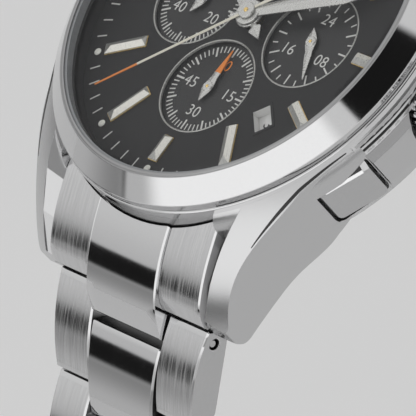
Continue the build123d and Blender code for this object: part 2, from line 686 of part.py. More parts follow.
def clasp_blade_inner():
    end_y, end_z = pivots()[-1]
    end = clasp_arc_height(HINGE_BLADES, BLADES_PIVOT_R)
    inside = INNER_BLADE_R - BLADE_THICK
    free_end = -(end_y - 2.2)
    body = curved_plate(INNER_BLADE_R, inside, free_end, HINGE_BLADES - 1.4, -BLADE_HALF_X, BLADE_HALF_X)
    body += curved_plate(INNER_BLADE_R, inside, HINGE_BLADES - 2.0, HINGE_BLADES, -2.1, 2.1)
    body += rod_x(KNUCKLE_R, -2.1, 2.1, HINGE_BLADES, end)
    for s in (1, -1):
        x0, x1 = sorted((s * (centre_half(PITCH * len(HEADINGS)) + SIDE_GAP), s * BLADE_HALF_X))
        body += curved_plate(87.1, inside, -(end_y + 1.1), -(end_y - 2.4), x0, x1)
    return body - rod_x(HINGE_PIN_R + RUN, -9, 9, HINGE_BLADES, end)


# ---------------------------------------------------------------- every piece by name
parts["case_middle"] = case_middle()
parts["bezel"] = bezel()
parts["crystal"] = crystal()
parts["crystal_gasket"] = ring(17.12, 17.36, 1.75, 2.6)
parts["rehaut_ring"] = rehaut_ring()
parts["dial"] = dial()
parts["subdial_rings"] = subdial_rings()
parts["hour_markers"] = hour_markers()
parts["minute_dots"] = minute_dots()
parts["date_frame"] = date_frame()
parts["movement_holder"] = movement_holder()
parts["main_plate"] = main_plate()
parts["train_bridge"] = train_bridge()
parts["bridge_screws"] = bridge_screws()
parts["circuit_board"] = circuit_board()
parts["motor_coils"] = motor_coils()
parts["battery"] = battery()
parts["case_back"] = case_back()
parts["case_back_gasket"] = ring(17.62, 18.28, CASE_BOTTOM, CASE_BOTTOM + 0.43)
parts["crown_tube"] = crown_tube()
parts["pusher_tubes"] = pusher_tubes()
parts["minute_hand"] = minute_hand()
parts["cannon_pinion"] = cannon_pinion()
parts["hour_hand"] = hour_hand()
parts["hour_wheel"] = hour_wheel()
parts["chrono_seconds_hand"] = chrono_seconds_hand()
parts["small_seconds_hand"] = small_hand(2, *SUBDIALS[1])
parts["chrono_minutes_hand"] = small_hand(325, *SUBDIALS[2])
parts["day_hand"] = small_hand(152, *SUBDIALS[0])
parts["date_ring"] = date_ring()
parts["crown"] = crown()
parts["winding_stem"] = winding_stem()
parts["clutch_pinion"] = clutch_pinion()
parts["pusher_2"] = pusher(1)
parts["pusher_4"] = pusher(-1)
parts["pusher_spring_2"] = spring(1)
parts["pusher_spring_4"] = spring(-1)
link = end_link()
parts["end_link_12"] = link
parts["end_link_6"] = Rot(0, 0, 180) * link
parts["spring_bars"] = group(both_sides(spring_bar()))
for number in range(len(HEADINGS)):
    links = placed_row(number)
    parts[f"row_12_{number + 1}"] = links
    parts[f"row_6_{number + 1}"] = Rot(0, 0, 180) * links
parts["clasp_cover"] = clasp_cover()
parts["clasp_pin"] = clasp_pin()
parts["clasp_blade_outer"] = clasp_blade_outer()
parts["clasp_blade_inner"] = clasp_blade_inner()
parts["clasp_button_3"] = clasp_button(1)
parts["clasp_button_9"] = clasp_button(-1)

os.makedirs("parts", exist_ok=True)
for name, part in parts.items():
    export_step(part, f"parts/{name}.step")
print(len(parts), "nodes written")
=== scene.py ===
# Looks of the chronograph wristwatch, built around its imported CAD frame.
# The row frame is in metres: origin in the middle of the case back's outer face, +Z out of the dial,
# +X to three o'clock and +Y to twelve. Lengths in this script are in millimetres and are turned into
# metres when a mesh is made.

import json
from math import atan2, cos, exp, pi, radians, sin, sqrt

import bpy
from mathutils import Matrix, Vector
from mathutils.geometry import tessellate_polygon

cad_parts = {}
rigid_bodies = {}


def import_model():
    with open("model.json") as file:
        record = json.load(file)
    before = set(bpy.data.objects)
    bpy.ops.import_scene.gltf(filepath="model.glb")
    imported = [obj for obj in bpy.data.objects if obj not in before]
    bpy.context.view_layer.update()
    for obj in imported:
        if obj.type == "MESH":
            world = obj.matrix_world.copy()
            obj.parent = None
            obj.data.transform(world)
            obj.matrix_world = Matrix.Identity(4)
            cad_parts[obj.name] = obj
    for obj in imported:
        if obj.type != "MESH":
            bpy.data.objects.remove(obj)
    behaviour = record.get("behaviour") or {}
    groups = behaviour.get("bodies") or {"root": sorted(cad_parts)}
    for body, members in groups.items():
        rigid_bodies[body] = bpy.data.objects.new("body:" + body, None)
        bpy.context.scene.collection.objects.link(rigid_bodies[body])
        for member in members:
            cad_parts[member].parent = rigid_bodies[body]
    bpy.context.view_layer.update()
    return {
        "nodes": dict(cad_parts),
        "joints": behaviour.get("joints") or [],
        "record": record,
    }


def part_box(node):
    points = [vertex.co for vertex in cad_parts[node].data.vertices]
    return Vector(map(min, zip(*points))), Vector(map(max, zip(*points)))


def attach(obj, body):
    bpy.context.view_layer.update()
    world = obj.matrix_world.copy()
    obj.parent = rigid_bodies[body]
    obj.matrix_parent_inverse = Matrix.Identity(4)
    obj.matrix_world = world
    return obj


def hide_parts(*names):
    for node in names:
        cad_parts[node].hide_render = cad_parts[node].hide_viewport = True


for leftover in list(bpy.data.objects):
    bpy.data.objects.remove(leftover)
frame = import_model()

MM = 0.001
joints = {joint["name"]: joint for joint in frame["joints"]}


def box_mm(node):
    low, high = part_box(node)
    return low / MM, high / MM


# ---------------------------------------------------------------- dimensions, in millimetres
DIAL_Z = box_mm("dial")[1].z
SUBDIAL_FLOOR = -0.45                 # below the dial
SUBDIAL_R = 4.67
SUBDIAL_OFFSET = joints["day_turn"]["pos_m"][0] / MM
SUBDIALS = {
    "hours": (SUBDIAL_OFFSET, 0.0),
    "seconds": (0.0, -SUBDIAL_OFFSET),
    "minutes": (-SUBDIAL_OFFSET, 0.0),
}
TICK_OUT = 4.28                       # outer end of the small dials' ticks
MARKER_OUT = 15.1                     # outer end of every hour baton
MARKER_IN = {12: 10.9, 1: 11.0, 2: 11.6, 3: 12.9, 4: 11.7, 5: 11.1,
             6: 12.6, 7: 11.0, 8: 10.9, 9: 12.9, 10: 11.6, 11: 11.0}
DOT_RING_R = 15.95
DATE_AT = (8.0, -8.0)
DATE_SIZE = (2.3, 1.7)
CRYSTAL_R = 17.12
CHRONO_ANGLE = 222.0                  # of the stopped chronograph hand, clockwise from twelve
CASE_SEAT_R = 19.85                   # the end links' inner ends follow this round wall
BEVEL = 0.15                          # polished bevel along the edges of a link piece
LINK_HALF = 1.45                      # half the thickness of a link piece at its ends
SIDE_RISE = 0.25                      # of the middle of its convex top
CENTRE_RISE = 0.37
PITCH = 9.1
ROWS = 7
SIDE_GAP = 0.12


# ---------------------------------------------------------------- node graphs
class Graph:
    """Short calls that build one node tree."""

    def __init__(self, tree):
        self.tree = tree
        tree.nodes.clear()

    def add(self, kind, inputs=None, out=0, **settings):
        node = self.tree.nodes.new("ShaderNode" + kind)
        for key, value in settings.items():
            setattr(node, key, value)
        for key, value in (inputs or {}).items():
            if isinstance(value, bpy.types.NodeSocket):
                self.tree.links.new(value, node.inputs[key])
            else:
                node.inputs[key].default_value = value
        return node.outputs[out] if node.outputs else node

    def math(self, operation, *values):
        return self.add("Math", dict(enumerate(values)), operation=operation)

    def step(self, value, start, end, low=0.0, high=1.0):
        """Smooth change from low to high as value goes from start to end."""
        return self.add("MapRange", {"Value": value, "From Min": start, "From Max": end,
                                     "To Min": low, "To Max": high},
                        interpolation_type="SMOOTHSTEP")

    def window(self, value, start, end, soft_start, soft_end):
        """One between start and end, zero outside, with soft edges."""
        opens = self.step(value, start - soft_start, start + soft_start)
        closes = self.step(value, end - soft_end, end + soft_end, 1.0, 0.0)
        return self.math("MULTIPLY", opens, closes)

    def blend(self, factor, a, b):
        """Number a where factor is zero and b where it is one."""
        return self.add("Mix", {"Factor": factor, "A": a, "B": b}, data_type="FLOAT")

    def colour(self, factor, a, b):
        return self.add("Mix", {0: factor, 6: (*a, 1), 7: (*b, 1)}, out=2, data_type="RGBA")

    def split(self, vector):
        node = self.tree.nodes.new("ShaderNodeSeparateXYZ")
        self.tree.links.new(vector, node.inputs[0])
        return node.outputs

    def place(self):
        """Position on the piece, in millimetres of the row frame."""
        coordinates = self.add("TexCoord", out=3)
        return self.add("VectorMath", {0: coordinates, "Scale": 1 / MM}, operation="SCALE")

    def noise(self, vector, scale, stretch=(1, 1, 1), detail=3.0):
        stretched = self.add("Mapping", {"Vector": vector, "Scale": stretch})
        return self.add("TexNoise", {"Vector": stretched, "Scale": scale, "Detail": detail})


def material(name):
    made = bpy.data.materials.new(name)
    made.use_nodes = True
    return made, Graph(made.node_tree)


def finish_material(graph, **inputs):
    shader = graph.add("BsdfPrincipled", {key.replace("_", " "): value for key, value in inputs.items()})
    graph.add("OutputMaterial", {"Surface": shader})


def steel(name, tone, rough, grain=(1, 1, 1), depth=0.4, edge=0.04, across=0.0):
    """Stainless steel. grain stretches its brush lines: a large number is across the lines.

    across gives the extra blur at right angles to brush lines that run round the X axis.
    """
    made, g = material(name)
    place = g.place()
    lines = g.noise(place, 6.0, grain, 3.0)
    patches = g.noise(place, 0.35)
    shade = g.step(lines, 0.25, 0.75, tone - 0.04 * depth, tone + 0.04 * depth)
    roughness = g.math("ADD", g.step(lines, 0.3, 0.7, rough - 0.04 * depth, rough + 0.04 * depth),
                       g.math("MULTIPLY", g.math("SUBTRACT", patches, 0.5), 0.03))
    rounded = g.add("Bevel", {"Radius": edge * MM}, samples=4)
    normal = g.add("Bump", {"Strength": 0.05 * depth, "Distance": 0.02 * MM,
                            "Height": lines, "Normal": rounded})
    warm = g.add("CombineColor", {0: shade, 1: shade, 2: g.math("MULTIPLY", shade, 1.006)})
    inputs = dict(Base_Color=warm, Metallic=1.0, Roughness=roughness, Normal=normal)
    if across:
        inputs.update(Anisotropic=across, Anisotropic_Rotation=0.25,
                      Tangent=g.add("Tangent", direction_type="RADIAL", axis="X"))
    finish_material(g, **inputs)
    return made


def coated(name, colour, rough, grain=0.06, metallic=0.0, scale=14.0, specular=0.5):
    """Paint, plating or plastic: a colour with fine grain in its tone and surface."""
    made, g = material(name)
    speck = g.noise(g.place(), scale, detail=4.0)
    darker = [c * (1 - grain) for c in colour]
    lighter = [min(1.0, c * (1 + grain)) for c in colour]
    base = g.colour(speck, darker, lighter)
    roughness = g.step(speck, 0.3, 0.7, rough - 0.05, rough + 0.05)
    normal = g.add("Bump", {"Strength": 0.04, "Distance": 0.01 * MM, "Height": speck})
    finish_material(g, Base_Color=base, Metallic=metallic, Roughness=roughness, Normal=normal,
                    Specular_IOR_Level=specular)
    return made


def snailed():
    """Floor of a small dial: black lacquer over fine rings about the disc's own middle."""
    made, g = material("snailed_black")
    x, y, _ = g.split(g.add("TexCoord", out=0))
    from_middle = g.math("SQRT", g.math("ADD", g.math("POWER", g.math("SUBTRACT", x, 0.5), 2.0),
                                        g.math("POWER", g.math("SUBTRACT", y, 0.5), 2.0)))
    rings = g.math("SINE", g.math("MULTIPLY", from_middle, 2 * pi * 60))
    base = g.colour(g.step(rings, -1, 1), (0.026, 0.026, 0.027), (0.040, 0.040, 0.041))
    normal = g.add("Bump", {"Strength": 0.10, "Distance": 0.02 * MM, "Height": rings})
    tangent = g.add("Tangent", direction_type="RADIAL", axis="Z")
    finish_material(g, Base_Color=base, Metallic=0.5, Roughness=0.38, Normal=normal, Tangent=tangent,
                    Anisotropic=0.75)
    return made


def glass():
    """Coated sapphire: it lets nearly all light through and reflects a little."""
    made, g = material("coated_sapphire")
    finish_material(g, Base_Color=(0.95, 0.96, 0.97, 1), Metallic=1.0, Roughness=0.02, Alpha=0.018)
    return made


looks = {
    "polished_steel": steel("polished_steel", 0.66, 0.06, depth=0.2),
    "brushed_steel": steel("brushed_steel", 0.64, 0.17, (1.2, 0.04, 0.04), 1.2, across=0.5),
    "satin_steel": steel("satin_steel", 0.55, 0.30, (0.4, 0.4, 6), 0.5),
    "case_steel": steel("case_steel", 0.60, 0.24, (2, 2, 6), 0.15),
    "lip_steel": steel("lip_steel", 0.40, 0.32, depth=0.2),
    # painted dark reflection: near-black steel for the thin bands laid over the lug creases, the crown
    # guards and the pushers
    "painted_dark_reflection_steel": steel("painted_dark_reflection_steel", 0.05, 0.25, depth=0.1),
    # painted highlight: very bright steel for the thin bright lines laid over the crown guards and the
    # pushers
    "painted_highlight_steel": steel("painted_highlight_steel", 0.85, 0.30, depth=0.2),
    # painted shade: near-black steel for the links' ends, backs and pin holes and the end links' noses and
    # undersides, standing in for the shade in the gaps
    "painted_gap_shade_steel": steel("painted_gap_shade_steel", 0.06, 0.45, depth=0.1),
    "crystal": glass(),
    "clear_gasket": coated("clear_gasket", (0.30, 0.31, 0.32), 0.30),
    "flange_black": coated("flange_black", (0.016, 0.016, 0.017), 0.40),
    "dial_black": coated("dial_black", (0.021, 0.021, 0.022), 0.62, 0.03, 0.0, 3.0, 0.2),
    # painted light: cream on one roof face of each hour baton, standing for the lit side of the ridge; the
    # other face is grey metal
    "marker_cream": coated("marker_cream", (0.80, 0.79, 0.73), 0.30, 0.02, 0.35),
    "marker_metal": coated("marker_metal", (0.46, 0.46, 0.44), 0.30, 0.03, 0.6),
    "print_white": coated("print_white", (0.62, 0.62, 0.60), 0.55, 0.03),
    "movement_plastic": coated("movement_plastic", (0.62, 0.62, 0.60), 0.5),
    "plated_brass": coated("plated_brass", (0.70, 0.52, 0.25), 0.28, 0.06, 1.0),
    "screw_steel": steel("screw_steel", 0.55, 0.20, depth=0.5),
    "circuit_green": coated("circuit_green", (0.03, 0.16, 0.08), 0.35, 0.15),
    "coil_copper": coated("coil_copper", (0.60, 0.26, 0.12), 0.3, 0.12, 0.9),
    "gasket_rubber": coated("gasket_rubber", (0.02, 0.02, 0.02), 0.6),
    "hand_steel": coated("hand_steel", (0.60, 0.60, 0.58), 0.28, 0.02, 0.7, 4.0),
    "hand_cream": coated("hand_cream", (0.78, 0.75, 0.64), 0.40, 0.03),
    "orange": coated("orange", (0.80, 0.24, 0.03), 0.40, 0.05),
    "gold": coated("gold", (0.85, 0.62, 0.25), 0.25, 0.04, 1.0),
    "lume": coated("lume", (0.82, 0.82, 0.76), 0.60, 0.04),
    "date_white": coated("date_white", (0.72, 0.72, 0.71), 0.55, 0.03),
    "date_black": coated("date_black", (0.015, 0.015, 0.015), 0.5),
    "snailed_black": snailed(),
}


# ---------------------------------------------------------------- meshes
class Shape:
    """Faces collected in millimetres, each with the number of its finish."""

    def __init__(self):
        self.points = []
        self.faces = []
        self.finishes = []

    def add(self, points, faces, finish=0):
        base = len(self.points)
        self.points += [Vector(p) for p in points]
        self.faces += [[base + i for i in face] for face in faces]
        self.finishes += [finish] * len(faces) if isinstance(finish, int) else finish

    def skin(self, loops, finish=0, caps=(True, True), closed=True):
        """Joins loops of equal length, one after another, and caps the first and the last."""
        n = len(loops[0])
        points = [p for loop in loops for p in loop]
        faces = []
        for k in range(len(loops) - 1):
            for i in range(n if closed else n - 1):
                j = (i + 1) % n
                faces.append([k * n + i, k * n + j, (k + 1) * n + j, (k + 1) * n + i])
        if caps[0]:
            faces.append(list(range(n))[::-1])
        if caps[1]:
            faces.append([(len(loops) - 1) * n + i for i in range(n)])
        self.add(points, faces, finish)

    def cap(self, outline, holes, depth, finishes=(0, 1, 2)):
        """Flat end with round holes of some depth. depth is the vector down the holes."""
        flat = [outline] + holes
        triangles = tessellate_polygon(flat)
        self.add([p for loop in flat for p in loop], [tuple(t) for t in triangles], finishes[0])
        for hole in holes:
            middle = sum(hole, Vector()) / len(hole)
            rim = [middle + (p - middle) * 0.86 + depth * 0.12 for p in hole]
            self.skin([hole, rim], finishes[1], (False, False))
            self.skin([rim, [p + depth for p in rim]], finishes[2], (False, True))

    def lathe(self, profile, steps=180, centre=(0, 0), finish=0):
        """Closed (radius, height) profile turned about an upright axis."""
        loops = [[(centre[0] + r * cos(2 * pi * k / steps), centre[1] + r * sin(2 * pi * k / steps), z)
                  for r, z in profile] for k in range(steps)]
        strips = finish if isinstance(finish, int) else finish * steps
        self.skin(loops + [loops[0]], strips, (False, False))

    def prism(self, outline, low, high, place=None, edge=0.0, finish=0):
        """Flat piece with an outline seen from above and, if edge is given, a bevelled top."""
        place = place or Matrix.Identity(4)
        loops = [[(x, y, low) for x, y in outline]]
        if edge:
            loops += [[(x, y, high - edge) for x, y in outline]]
            loops += [[(x, y, high) for x, y in inset(outline, edge)]]
        else:
            loops += [[(x, y, high) for x, y in outline]]
        self.skin([[place @ Vector(p) for p in loop] for loop in loops], finish)

    def object(self, name, finishes, body, replaced=(), smooth=35.0):
        mesh = bpy.data.meshes.new(name)
        mesh.from_pydata([p * MM for p in self.points], [], self.faces)
        for look in finishes:
            mesh.materials.append(looks[look])
        mesh.polygons.foreach_set("material_index", self.finishes)
        merge(mesh)
        if smooth:
            mesh.shade_smooth()
            mesh.set_sharp_from_angle(angle=radians(smooth))
        return piece(name, mesh, body, replaced)


def merge(mesh):
    """Joins points that coincide and turns all faces outwards."""
    import bmesh
    work = bmesh.new()
    work.from_mesh(mesh)
    bmesh.ops.remove_doubles(work, verts=work.verts, dist=1e-7)
    bmesh.ops.recalc_face_normals(work, faces=work.faces)
    work.to_mesh(mesh)
    work.free()


def piece(name, mesh, body, replaced=()):
    made = bpy.data.objects.new(name, mesh)
    bpy.context.scene.collection.objects.link(made)
    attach(made, body)
    if replaced:
        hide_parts(*replaced)
    return made


def inset(outline, distance):
    """The outline moved inwards by a distance; it runs anticlockwise."""
    moved = []
    for i, here in enumerate(outline):
        before, after = Vector(outline[i - 1]), Vector(outline[(i + 1) % len(outline)])
        here = Vector(here)
        into = (here - before).normalized()
        out = (after - here).normalized()
        bisector = Vector((-into.y - out.y, into.x + out.x))
        share = max(0.35, bisector.length / 2)
        moved.append(tuple(here + bisector.normalized() * distance / share))
    return moved


def at(x=0.0, y=0.0, z=0.0, clockwise=0.0):
    """Place on the dial: a point, turned clockwise from twelve by an angle in degrees."""
    return Matrix.Translation((x, y, z)) @ Matrix.Rotation(radians(-clockwise), 4, "Z")


def circle(r, steps=48):
    return [(r * cos(2 * pi * k / steps), r * sin(2 * pi * k / steps)) for k in range(steps)]


def bar(half, start, end):
    """Rectangle that points to twelve."""
    return [(-half, start), (half, start), (half, end), (-half, end)]


# ---------------------------------------------------------------- dial
def batons():
    """Applied hour markers: a roof with sloped ends on a thin gold base."""
    shape = Shape()
    half, crest, wall = 0.52, 0.50, 0.20
    for hour, start in MARKER_IN.items():
        for shift in ((-0.8, 0.8) if hour == 12 else (0.0,)):
            place = at(z=DIAL_Z, clockwise=30 * hour) @ Matrix.Translation((shift, 0, 0))
            end = MARKER_OUT
            shape.prism(bar(half + 0.05, start - 0.05, end + 0.05), 0, 0.08, place, finish=1)
            points = [(-half, start, 0.08), (half, start, 0.08), (half, end, 0.08), (-half, end, 0.08),
                      (-half, start, wall), (half, start, wall), (half, end, wall), (-half, end, wall),
                      (0, start + 0.25, crest), (0, end - 0.75, crest)]
            faces = [(0, 1, 5, 4), (1, 2, 6, 5), (2, 3, 7, 6), (3, 0, 4, 7),
                     (4, 5, 8), (6, 7, 9), (5, 6, 9, 8), (7, 4, 8, 9)]
            # One roof face is cream and the other grey metal: painted light and shade on the two sides of
            # the ridge.
            shape.add([place @ Vector(p) for p in points], faces, [2, 2, 2, 2, 3, 3, 2, 0])
    shape.object("hour_batons", ["marker_cream", "gold", "marker_metal", "marker_metal"],
                 "case", ["hour_markers"], smooth=0)


def minute_track():
    """Printed minute ticks and the small raised dots at the hours."""
    ticks = Shape()
    dots = Shape()
    for minute in range(60):
        place = at(z=DIAL_Z, clockwise=6 * minute)
        if minute % 5:
            ticks.prism(bar(0.065, 15.45, 16.45), 0, 0.02, place)
        else:
            dots.skin([[place @ Vector((x, y + DOT_RING_R, z)) for x, y in circle(r, 24)]
                       for r, z in ((0.34, 0.0), (0.34, 0.05), (0.24, 0.12))])
    ticks.object("minute_ticks", ["print_white"], "case", smooth=0)
    dots.object("hour_dots", ["lume"], "case", ["minute_dots"])


def small_dial_floors():
    for name, centre in SUBDIALS.items():
        floor = Shape()
        floor.prism(circle(SUBDIAL_R - 0.02, 96), -0.005, 0.005, at(*centre, DIAL_Z + SUBDIAL_FLOOR + 0.005))
        floor.object(f"{name}_dial_floor", ["snailed_black"], "case", smooth=0)


def small_dial_rings():
    """Thin raised ring round each small dial."""
    inner, outer = SUBDIAL_R - 0.07, SUBDIAL_R + 0.07
    foot, shoulder, crest = DIAL_Z - 0.2, DIAL_Z + 0.03, DIAL_Z + 0.07
    rings = Shape()
    for centre in SUBDIALS.values():
        rings.lathe([(inner, foot), (outer, foot), (outer, shoulder), (SUBDIAL_R, crest), (inner, shoulder)],
                    120, centre)
    rings.object("small_dial_rings", ["marker_metal"], "case", ["subdial_rings"])


def small_dial_ticks():
    shape = Shape()
    level = DIAL_Z + SUBDIAL_FLOOR + 0.01
    for name, centre in SUBDIALS.items():
        count = 24 if name == "hours" else 60
        for k in range(count):
            place = at(*centre, level, 360 * k / count)
            if name == "hours":
                length, half = (1.0, 0.075) if k % 2 == 0 else (0.55, 0.06)
            else:
                length, half = (0.95, 0.085) if k % 5 == 0 else (0.62, 0.055)
            shape.prism(bar(half, TICK_OUT - length, TICK_OUT), 0, 0.02, place)
    shape.object("small_dial_ticks", ["print_white"], "case", smooth=0)


def numeral(name, text, x, y, size, finish, level, turn=0.0, body="case"):
    """Printed number, centred on a point of the dial."""
    letters = bpy.data.curves.new(name, "FONT")
    letters.body = text
    letters.size = size * MM
    letters.extrude = 0.01 * MM
    letters.offset = -0.008 * MM
    letters.space_character = 1.05
    letters.align_x = "CENTER"
    letters.align_y = "CENTER"
    holder = bpy.data.objects.new(name, letters)
    bpy.context.scene.collection.objects.link(holder)
    mesh = bpy.data.meshes.new_from_object(holder)
    bpy.data.objects.remove(holder)
    mesh.transform(Matrix.Translation((x * MM, y * MM, level * MM)) @ Matrix.Rotation(radians(turn), 4, "Z"))
    mesh.materials.clear()
    mesh.materials.append(looks[finish])
    return piece(name, mesh, body)


def small_dial_numbers():
    level = DIAL_Z + SUBDIAL_FLOOR + 0.02
    for dial_name, entries in (("hours", {"24": 0, "08": 120, "16": 240}),
                               ("seconds", {"0": 0, "15": 90, "30": 180, "45": 270}),
                               ("minutes", {"60": 0, "20": 120, "40": 240})):
        cx, cy = SUBDIALS[dial_name]
        for text, angle in entries.items():
            x = cx + 2.42 * sin(radians(angle))
            y = cy + 2.42 * cos(radians(angle))
            finish = "orange" if text == "0" else "print_white"
            nudge = 0.25 if text == "0" else 0.0
            numeral(f"number_{dial_name}_{text}", text, x + nudge, y, 1.5, finish, level)


def date():
    """Numeral on the date disc, and the bevelled frame round its window."""
    level = box_mm("date_ring")[1].z
    numeral("date_numeral", "3", DATE_AT[0] + 0.05, DATE_AT[1] - 0.05, 1.45, "date_black",
            level + 0.012, -45.0, "date_ring")
    edge = Shape()
    corners = ((-1, -1), (1, -1), (1, 1), (-1, 1))
    window = [(sx * DATE_SIZE[0] / 2, sy * DATE_SIZE[1] / 2) for sx, sy in corners]
    place = at(*DATE_AT, DIAL_Z, 45.0)
    low_in = [place @ Vector((x * 0.95, y * 0.95, -0.85)) for x, y in window]
    edge_in = [place @ Vector((x * 0.97, y * 0.97, 0.03)) for x, y in window]
    edge_out = [place @ Vector((x + 0.22 * (1 if x > 0 else -1), y + 0.22 * (1 if y > 0 else -1), 0.05))
                for x, y in window]
    foot_out = [Vector((p.x, p.y, DIAL_Z)) for p in edge_out]
    edge.skin([low_in, edge_in, edge_out, foot_out], [1] * 4 + [0] * 8, (False, False))
    edge.object("date_window_frame", ["dial_black", "date_white"], "case",
                ["date_frame"], smooth=0)


# ---------------------------------------------------------------- hands
def hand(shape, points, level, angle, thick=0.16, crest=0.10, centre=(0, 0), finish=0):
    """Hand with a ridge along its middle. points are (half width, distance from the axis)."""
    place = at(*centre, DIAL_Z + level, angle)
    loops = []
    for half, along in points:
        ridge = thick + (crest if half > 0.05 else 0)
        section = ((-half, along, 0), (half, along, 0), (half, along, thick * 0.6), (0, along, ridge),
                   (-half, along, thick * 0.6))
        loops.append([place @ Vector(p) for p in section])
    shape.skin(loops, finish)


def hub(shape, r, level, high, centre=(0, 0), finish=0):
    z = DIAL_Z + level
    profile = [(0.0001, z), (r, z), (r, z + high - 0.05), (r - 0.05, z + high), (0.0001, z + high)]
    shape.lathe(profile, 40, centre, finish)


def hands():
    """Three hands in the middle and one on each small dial."""
    minute = Shape()
    hand(minute, [(0.15, -1.75), (0.34, -1.3), (0.50, 0.0), (0.92, 9.8), (0.02, 14.4)], 1.05, 62)
    hub(minute, 1.25, 1.05, 0.18)
    minute.object("minute_hand_look", ["hand_steel"], "minute_hand", ["minute_hand"], smooth=0)
    hour = Shape()
    hand(hour, [(0.03, -3.2), (0.60, -1.95), (0.55, -1.75), (0.25, -1.6), (0.30, -1.2), (0.60, -0.5),
                (0.60, 0.5), (1.05, 6.6), (0.02, 9.5)], 0.75, 305)
    hub(hour, 1.35, 0.75, 0.2)
    hour.object("hour_hand_look", ["hand_steel"], "hour_hand", ["hour_hand"], smooth=0)
    chrono = Shape()
    hand(chrono, [(0.26, -4.6), (0.30, -3.8), (0.12, -1.2), (0.14, 0.0), (0.11, 10.9)],
         1.32, CHRONO_ANGLE, 0.1, 0.04)
    hand(chrono, [(0.11, 10.9), (0.07, 15.15)], 1.32, CHRONO_ANGLE, 0.1, 0.04, finish=1)
    hub(chrono, 0.78, 1.32, 0.2, finish=2)
    hub(chrono, 0.22, 1.50, 0.1, finish=3)
    chrono.object("chrono_hand_look", ["hand_cream", "orange", "hand_steel", "gold"], "chrono_seconds_hand",
                  ["chrono_seconds_hand"], smooth=30)
    for name, body, dial_name, angle in (("small_seconds", "small_seconds_hand", "seconds", -1.3),
                                         ("chrono_minutes", "chrono_minutes_hand", "minutes", 15),
                                         ("day", "day_hand", "hours", 152)):
        small = Shape()
        centre = SUBDIALS[dial_name]
        stations = [(0.03, -1.45), (0.30, -0.85), (0.52, -0.30), (0.52, 0.25), (0.34, 1.0)]
        hand(small, stations + [(0.34, 1.5)], -0.20, angle, 0.12, 0.05, centre)
        tip_finish = 1 if name == "small_seconds" else 0
        hand(small, [(0.34, 1.5), (0.05, 3.85)], -0.20, angle, 0.12, 0.05, centre, tip_finish)
        hub(small, 0.50, -0.20, 0.19, centre)
        hub(small, 0.16, -0.03, 0.08, centre, finish=2)
        small.object(f"{name}_hand_look", ["hand_steel", "orange", "gold"], body,
                     [body], smooth=0)


# ---------------------------------------------------------------- bezel and crystal
def bezel():
    """Polished ring with a wide sloping face, and the rounded lip that holds the crystal."""
    profile = [(17.72, -0.5), (19.70, -0.5), (19.70, 0.20), (19.64, 0.26), (19.56, 0.29), (19.55, 0.33),
               (19.55, 0.98), (19.535, 1.03), (19.49, 1.06), (17.78, 2.69), (17.74, 2.715), (17.70, 2.72),
               (17.66, 2.70), (17.62, 2.72), (17.58, 2.765), (17.52, 2.78), (17.36, 2.78), (17.36, 1.68),
               (17.72, 1.68)]
    shape = Shape()
    shape.lathe([(r, DIAL_Z + z) for r, z in profile], 360, finish=[0] * 9 + [1] * (len(profile) - 9))
    shape.object("bezel_look", ["polished_steel", "lip_steel"], "case", ["bezel"], smooth=8)


def crystal():
    """Flat crystal with a small chamfer round its top."""
    low, high = box_mm("crystal")
    shape = Shape()
    shape.lathe([(0.0001, low.z), (CRYSTAL_R, low.z), (CRYSTAL_R, high.z - 0.15), (CRYSTAL_R - 0.15, high.z),
                 (0.0001, high.z)], 240)
    shape.object("crystal_look", ["crystal"], "case", ["crystal"], smooth=25)


# ---------------------------------------------------------------- bracelet
def half_width(s):
    """Half width of the bracelet, a distance s past the first pivot."""
    return 8.0 + 1.7 * exp(-s / 14.0)


def centre_half(s):
    """Half width of the polished centre pieces there."""
    return 0.475 * half_width(s)


def arc(centre, r, start, end, steps):
    """Points on an arc, with its angles in degrees."""
    angles = [radians(start + (end - start) * k / steps) for k in range(steps + 1)]
    return [(centre[0] + r * cos(a), centre[1] + r * sin(a)) for a in angles]


def barrel_side(start, end, top, shoulder, crown_at, lip=0.22, back_r=1.15):
    """Side view of a link piece, (along, height, finish of the strip that follows).

    The convex top is highest at crown_at. The outline runs clockwise from the first end.
    Finishes: 0 outside, 1 polished lip, 3 ends and back, where the callers put a near-black steel as painted
    shade.
    """
    half = (end - start) / 2
    along = [start + (end - start) * k / 32 for k in range(33)]
    crest = [(y, top - shoulder * ((y - crown_at) / half) ** 2) for y in along]
    crest = [p for p in crest if start + lip <= p[0] <= end - lip]
    first = arc((start + lip, crest[0][1] - lip), lip, 180, 108, 5)
    last = arc((end - lip, crest[-1][1] - lip), lip, 72, 0, 5)
    back = -LINK_HALF
    far = arc((end - back_r, back + back_r), back_r, 0, -90, 8)
    near = arc((start + back_r, back + back_r), back_r, -90, -180, 8)
    strips = [1] * len(first) + [0] * len(crest[1:-1]) + [1] * (len(last) - 1)
    strips += [3] * (1 + len(far) + len(near))
    return [(*p, f) for p, f in zip(first + crest[1:-1] + last + far + near, strips)]


def sweep_across(shape, side, left, right, place, open_ends=(), bevel=BEVEL):
    """Draws a side view out across the bracelet from left(s) to right(s), with bevelled rims.

    open_ends says which cut ends have a hole for the hinge pin (-1 left, 1 right). Finish 2 is on the
    cut ends.
    """
    outline = [(s, z) for s, z, _ in side]
    strips = [f for _, _, f in side]
    inner = inset(outline[::-1], bevel)[::-1]
    loops = [[(left(s), s2, z2) for (s, z), (s2, z2) in zip(outline, inner)]]
    loops += [[(left(s) + bevel, s, z) for s, z in outline], [(right(s) - bevel, s, z) for s, z in outline]]
    loops.append([(right(s), s2, z2) for (s, z), (s2, z2) in zip(outline, inner)])
    loops = [[place @ Vector(p) for p in loop] for loop in loops]
    rim = [3 if f == 3 else 1 for f in strips]
    shape.skin(loops, rim + strips + rim, (False, False))
    across = (place.to_3x3() @ Vector((1, 0, 0))) * 0.5
    for sign, loop, edge in ((-1, loops[0], left), (1, loops[-1], right)):
        holes = []
        if sign in open_ends:
            holes = [[place @ Vector((edge(y), y, z)) for y, z in circle(0.60, 28)]]
        shape.cap(loop, holes, across * -sign, (2, 1, 3))


